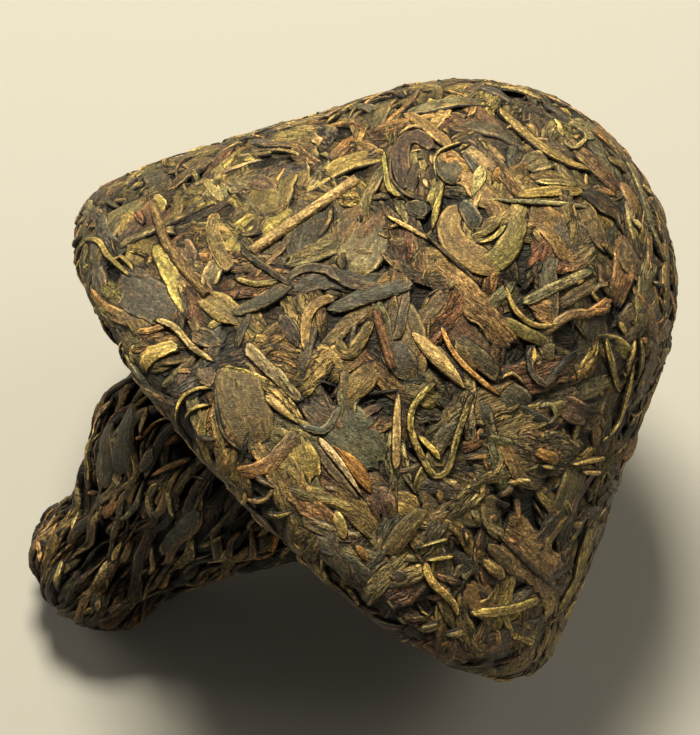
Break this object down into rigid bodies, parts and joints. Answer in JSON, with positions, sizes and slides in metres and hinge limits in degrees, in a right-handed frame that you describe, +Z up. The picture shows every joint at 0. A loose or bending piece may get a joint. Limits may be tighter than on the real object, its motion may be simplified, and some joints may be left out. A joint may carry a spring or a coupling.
{
  "type": "mushroom tuocha",
  "caption": "Tea leaves pressed into a mushroom form: a round-crowned bell with a thick twisted stem, lying on its rim and stem end.",
  "frame": {"origin": "on the surface that the cake lies on, under the middle of its bounding box", "axes": "+Z up; +X the heading of the cake's own axis, from the stem's end to the crown, which rises above the surface by about 32 degrees"},
  "size_m": [0.0962, 0.0922, 0.0814],
  "materials": {
    "pressed_leaf": "matte"
  },
  "bodies": {
    "root": {"mushroom_tuocha": "pressed_leaf"}
  },
  "joints": []
}
